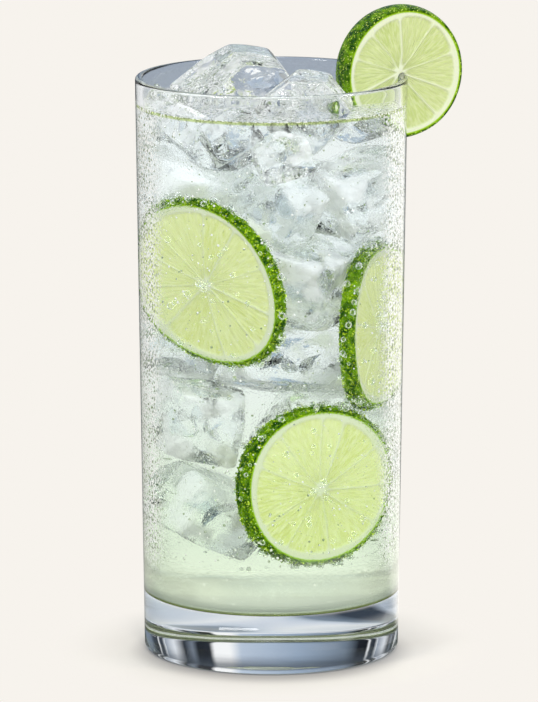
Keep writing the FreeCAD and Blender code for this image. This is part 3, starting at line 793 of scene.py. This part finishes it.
def slit_wheel(radius, thick, rind, count, seed, places=420):
    """A lime wheel that is open from its core down to its edge: section points by places, and marks.

    Each place runs from a small arch over the slit's head, (s cos b, head - s + s sin b), straight
    out to the edge at its angle. The slit then follows the glass: points near it move across by
    sqrt(wall^2 - (across + z)^2) - along, the wall's own line through the thickness."""
    section, reach = wheel_section(radius, thick)
    lean, head = np.arcsin(slit / radius), 0.00022
    angle = np.linspace(-np.pi / 2 + lean, 1.5 * np.pi - lean, places)
    arch = np.linspace(0, np.pi, places)
    out = section[:, :1] / radius
    x = slit * np.cos(arch) * (1 - out) + radius * np.cos(angle) * out
    y = (head - slit + slit * np.sin(arch)) * (1 - out) + radius * np.sin(angle) * out
    points, marks = dress_face(x, y, section[:, 1:] + 0 * angle, section[:, :1] + 0 * angle, reach,
                               radius, thick, rind, count, seed)
    turn, near, above = np.radians(garnish_yaw), 0.007, 0.006
    along = seat[0] * np.cos(turn) + seat[1] * np.sin(turn)
    across = seat[0] * np.sin(turn) - seat[1] * np.cos(turn)
    height = np.minimum(seat[2] + y, glass_height)
    wall = (outer_wall(height) + inner_wall(height)) / 2
    aside = np.sqrt(wall ** 2 - (across + points[..., 2]) ** 2) - along
    points[..., 0] += aside * np.exp(-(x / near) ** 2) * (1 - smooth_step(y, 0.0, above))
    return points, marks


def lay_slit_skin(name, loops, marks):
    """Closed mesh of a wheel that is open at a slit: loops of section points by places.

    Each loop closes from the rear face's middle to the front's over the slit's head. At the two sides
    of the slit, points at the same distance out on the front and the rear are joined, and a triangle
    closes the tip. All faces are turned over if the volume comes out negative, as in lay_skin."""
    rows, places = loops.shape[:2]
    number = np.arange(rows * places).reshape(rows, places)
    below = np.roll(number, -1, axis=0)
    quads = np.stack([number[:, :-1], number[:, 1:], below[:, 1:], below[:, :-1]], -1).reshape(-1, 4)
    front = np.arange(rows // 2 - 1)
    rear = rows - 1 - front
    corners = number[np.stack([front, front + 1, rear - 1, rear], -1)]
    right, left = corners[..., 0], corners[..., -1]
    quads = np.vstack([quads, right, left[:, ::-1]])
    edge = number[rows // 2 + np.arange(-1, 2)]
    tips = [edge[:, 0].tolist(), edge[::-1, -1].tolist()]
    points = loops.reshape(-1, 3)
    a, b, c = (points[quads[:, i]] for i in range(3))
    if (a * np.cross(b, c)).sum() < 0:
        quads, tips = quads[:, ::-1], [tip[::-1] for tip in tips]
    marks = {mark: value.reshape(rows * places, -1) for mark, value in marks.items()}
    return make_piece(name, points, quads.tolist() + tips, marks)


garnish_points, garnish_marks = slit_wheel(garnish_radius, thick=0.0076, rind=0.0027, count=10, seed=14)
garnish_points = stand_wheel(garnish_points, seat, garnish_yaw, 0, 0)
garnish = lay_slit_skin("lime_wheel", garnish_points, garnish_marks)
# The wheel on the rim is painted darker than the same lime in the drink, as painted shade that offsets the
# stronger light it gets.
garnish.data.materials.append(make_lime_finish("lime", 0.15, paint(188, 204, 128), paint(206, 217, 160),
                                                paint(204, 226, 104)))
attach(garnish, "root")
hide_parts("lime_garnish")


# ------------------------------------------------------------------------------- table, light, camera
# A plain pale table that runs on out of sight, a pale room with a cooler ceiling, soft lamps at the
# upper left, at the right, overhead and in front, and a long lens that looks a little down.

pale, painted_dim_reflection = paint(247, 243, 237), paint(80, 84, 90)


def colour_quarters(material, angle, stops):
    """Runs through the same colours in every quarter turn of an angle, starting at minus pi / 4.

    Each stop is a share of the quarter and a colour in parts of 255."""
    turned = reckon(material, "ADD", angle, np.pi / 4)
    share = reckon(material, "DIVIDE", reckon(material, "WRAP", turned, np.pi / 2), np.pi / 2)
    ramp = add_node(material, "ValToRGB", {"Fac": share})
    for at, _ in stops[1:-1]:
        ramp.color_ramp.elements.new(at)
    for element, (at, colour) in zip(ramp.color_ramp.elements, stops):
        element.position, element.color = at, paint(*colour)
    return ramp.outputs["Color"]


mesh = bpy.data.meshes.new("table")
mesh.from_pydata([(-30, -30, 0), (30, -30, 0), (30, 30, 0), (-30, 30, 0)], [], [(0, 1, 2, 3)])
table = bpy.data.objects.new("table", mesh)
bpy.context.scene.collection.objects.link(table)
table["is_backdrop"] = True
cloth = bpy.data.materials.new("pale_table")
cloth.use_nodes = True
cloth.node_tree.nodes.remove(cloth.node_tree.nodes["Principled BSDF"])
place = add_node(cloth, "TexCoord").outputs["Object"]
axes = add_node(cloth, "SeparateXYZ", {"Vector": place}).outputs
angle = reckon(cloth, "ARCTAN2", axes["X"], axes["Y"])
reach = reckon_vectors(cloth, "LENGTH", place)
path = add_node(cloth, "LightPath").outputs
through = path["Is Transmission Ray"]
thrown = reckon(cloth, "SUBTRACT", path["Is Glossy Ray"], through, held=True)

# Away from the glass the table glows evenly. Through the glass it glows pale green under the foot as painted
# light and glows evenly far off, and between them it is lit, with painted light and shade in soft cool bands
# and one dark band in each quarter.
seen = reckon(cloth, "SUBTRACT", run_between(cloth, reach, 0.036, 0.062), through, held=True)
beyond = reckon(cloth, "MULTIPLY", run_between(cloth, reach, 0.062, 0.072), through)
# Painted light: under the foot the table glows pale green, seen only through the glass.
under = reckon(cloth, "MULTIPLY", run_between(cloth, reach, 0.022, 0.055, 1.0, 0.0), through)
glowing = reckon(cloth, "MAXIMUM", reckon(cloth, "MAXIMUM", seen, beyond), under)
# Painted light and shade, seen only through the glass: soft cool bands with a dark one in each quarter, for
# the glass's own shadow and bright streaks on the table.
painted_bands = colour_quarters(cloth, angle, [
    (0.000, (214, 223, 235)), (0.300, (190, 202, 218)), (0.360, (60, 70, 84)), (0.450, (60, 70, 84)),
    (0.485, (120, 138, 158)), (0.493, (206, 217, 232)), (0.500, (222, 230, 242)), (0.511, (242, 246, 251)),
    (0.533, (226, 233, 242)), (0.580, (214, 223, 235)), (1.000, (214, 223, 235))])
close = reckon(cloth, "MULTIPLY", run_between(cloth, reach, 0.060, 0.070, 1.0, 0.0), through)
surface = blend_colours(cloth, close, pale, painted_bands)
# Painted reflection: the lit table is dim in mirror images.
surface = blend_colours(cloth, thrown, surface, painted_dim_reflection)

# Where the foot stands, a tight shadow is painted on the table, lying a little towards the front.
from_shadow = reckon_vectors(cloth, "LENGTH", reckon_vectors(cloth, "ADD", place, (0.0, 0.006, 0.0)))
painted_contact_shadow = run_between(cloth, from_shadow, 0.030, 0.042, 1.0, 0.0)
painted_contact_shadow = reckon(cloth, "SUBTRACT", painted_contact_shadow, through, held=True)
surface = blend_colours(cloth, painted_contact_shadow, surface, paint(200, 196, 192))
lit = add_node(cloth, "BsdfDiffuse", {"Color": surface}).outputs["BSDF"]

# In a mirror image the table is painted dim, with a painted bright panel at either side of the rear, the left
# one weaker: a painted reflection.
aside = reckon(cloth, "ABSOLUTE", angle)
painted_panel = reckon(cloth, "MULTIPLY", run_between(cloth, aside, 0.25, 0.50),
               run_between(cloth, aside, 0.95, 1.30, 1.0, 0.0))
painted_panel = reckon(cloth, "MULTIPLY", painted_panel, run_between(cloth, axes["X"], -0.05, 0.05, 0.35, 1.0))
painted_panel = reckon(cloth, "MULTIPLY", painted_panel, thrown)
shine = blend_colours(cloth, painted_panel, blend_colours(cloth, thrown, pale, painted_dim_reflection), pale)
shine = blend_colours(cloth, through, shine, paint(251, 253, 254))
# Painted light: the pale green glow under the foot.
shine = blend_colours(cloth, under, shine, paint(240, 250, 230))
strength = run_between(cloth, painted_panel, 0.0, 1.0, 1.0, 1.5)
glow = add_node(cloth, "Emission", {"Color": shine, "Strength": strength}).outputs["Emission"]
both = add_node(cloth, "MixShader", {0: glowing, 1: lit, 2: glow}).outputs["Shader"]
feed(cloth.node_tree.nodes["Material Output"], "Surface", both)
cloth.cycles.emission_sampling = "NONE"
table.data.materials.append(cloth)

# The room is pale to look at. What the glass bends and mirrors are panels that repeat in each quarter,
# under a cooler ceiling, and mirror images also catch a bright light high above.
world = bpy.data.worlds.new("room")
bpy.context.scene.world = world
world.use_nodes = True
room = world.node_tree.nodes["Background"]
axes = add_node(world, "SeparateXYZ", {"Vector": add_node(world, "TexCoord").outputs["Generated"]}).outputs
path = add_node(world, "LightPath").outputs
panels = colour_quarters(world, reckon(world, "ARCTAN2", axes["X"], axes["Y"]), [
    (0.000, (228, 233, 240)), (0.030, (40, 46, 54)), (0.062, (60, 66, 74)), (0.077, (246, 248, 251)),
    (0.092, (20, 24, 30)), (0.150, (24, 28, 36)), (0.220, (110, 124, 140)), (0.411, (150, 168, 190)),
    (0.500, (170, 186, 206)), (0.600, (186, 200, 218)), (0.640, (252, 253, 254)), (0.700, (252, 253, 254)),
    (0.720, (30, 34, 42)), (0.775, (16, 20, 26)), (0.805, (112, 122, 136)), (0.850, (30, 34, 42)),
    (0.922, (228, 233, 240)), (1.000, (150, 160, 174))])
tone = blend_colours(world, run_between(world, axes["Z"], 0.26, 0.50), panels, paint(66, 74, 88))
tone = blend_colours(world, path["Is Camera Ray"], tone, pale)
tone = blend_colours(world, path["Is Diffuse Ray"], tone, paint(196, 195, 192))
feed(room, "Color", tone)
thrown = reckon(world, "SUBTRACT", path["Is Glossy Ray"], path["Is Transmission Ray"], held=True)
above = reckon(world, "MULTIPLY", run_between(world, axes["Z"], 0.50, 0.62), thrown)
feed(room, "Strength", run_between(world, above, 0.0, 1.0, 1.0, 9.0))


def hang_lamp(name, place, aim, size, power):
    """A soft square lamp, turned so that it shines from its place to its aim."""
    lamp = bpy.data.lights.new(name, "AREA")
    lamp.shape, lamp.size, lamp.energy = "SQUARE", size, power
    holder = bpy.data.objects.new(name, lamp)
    bpy.context.scene.collection.objects.link(holder)
    toward = Vector(aim) - Vector(place)
    holder.location = place
    holder.rotation_euler = toward.to_track_quat("-Z", "Y").to_euler()
    holder.visible_camera = False


aim = (0, 0, 0.08)
hang_lamp("upper_left_lamp", (-0.9, -0.7, 1.1), aim, 0.30, 6.0)
hang_lamp("right_lamp", (1.0, -0.3, 0.8), aim, 0.24, 3.2)
hang_lamp("overhead_lamp", (0.1, 0.5, 1.3), aim, 0.36, 3.0)
hang_lamp("front_lamp", (0.25, -1.5, 0.75), aim, 0.30, 9.0)

camera = bpy.data.cameras.new("camera")
camera.sensor_fit, camera.sensor_height, camera.lens = "VERTICAL", 24.0, 222.0
camera.shift_x = -0.00335
holder = bpy.data.objects.new("camera", camera)
bpy.context.scene.collection.objects.link(holder)
holder.location = (0, -1.7885, 0.4375)
holder.rotation_euler = (np.pi / 2 - 0.1946, 0, 0)
bpy.context.scene.camera = holder

bpy.context.scene.view_settings.view_transform = "Standard"
bpy.context.scene.cycles.use_denoising = True
bpy.context.scene.cycles.max_bounces = 24
bpy.context.scene.cycles.transmission_bounces = 24

low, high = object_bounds()
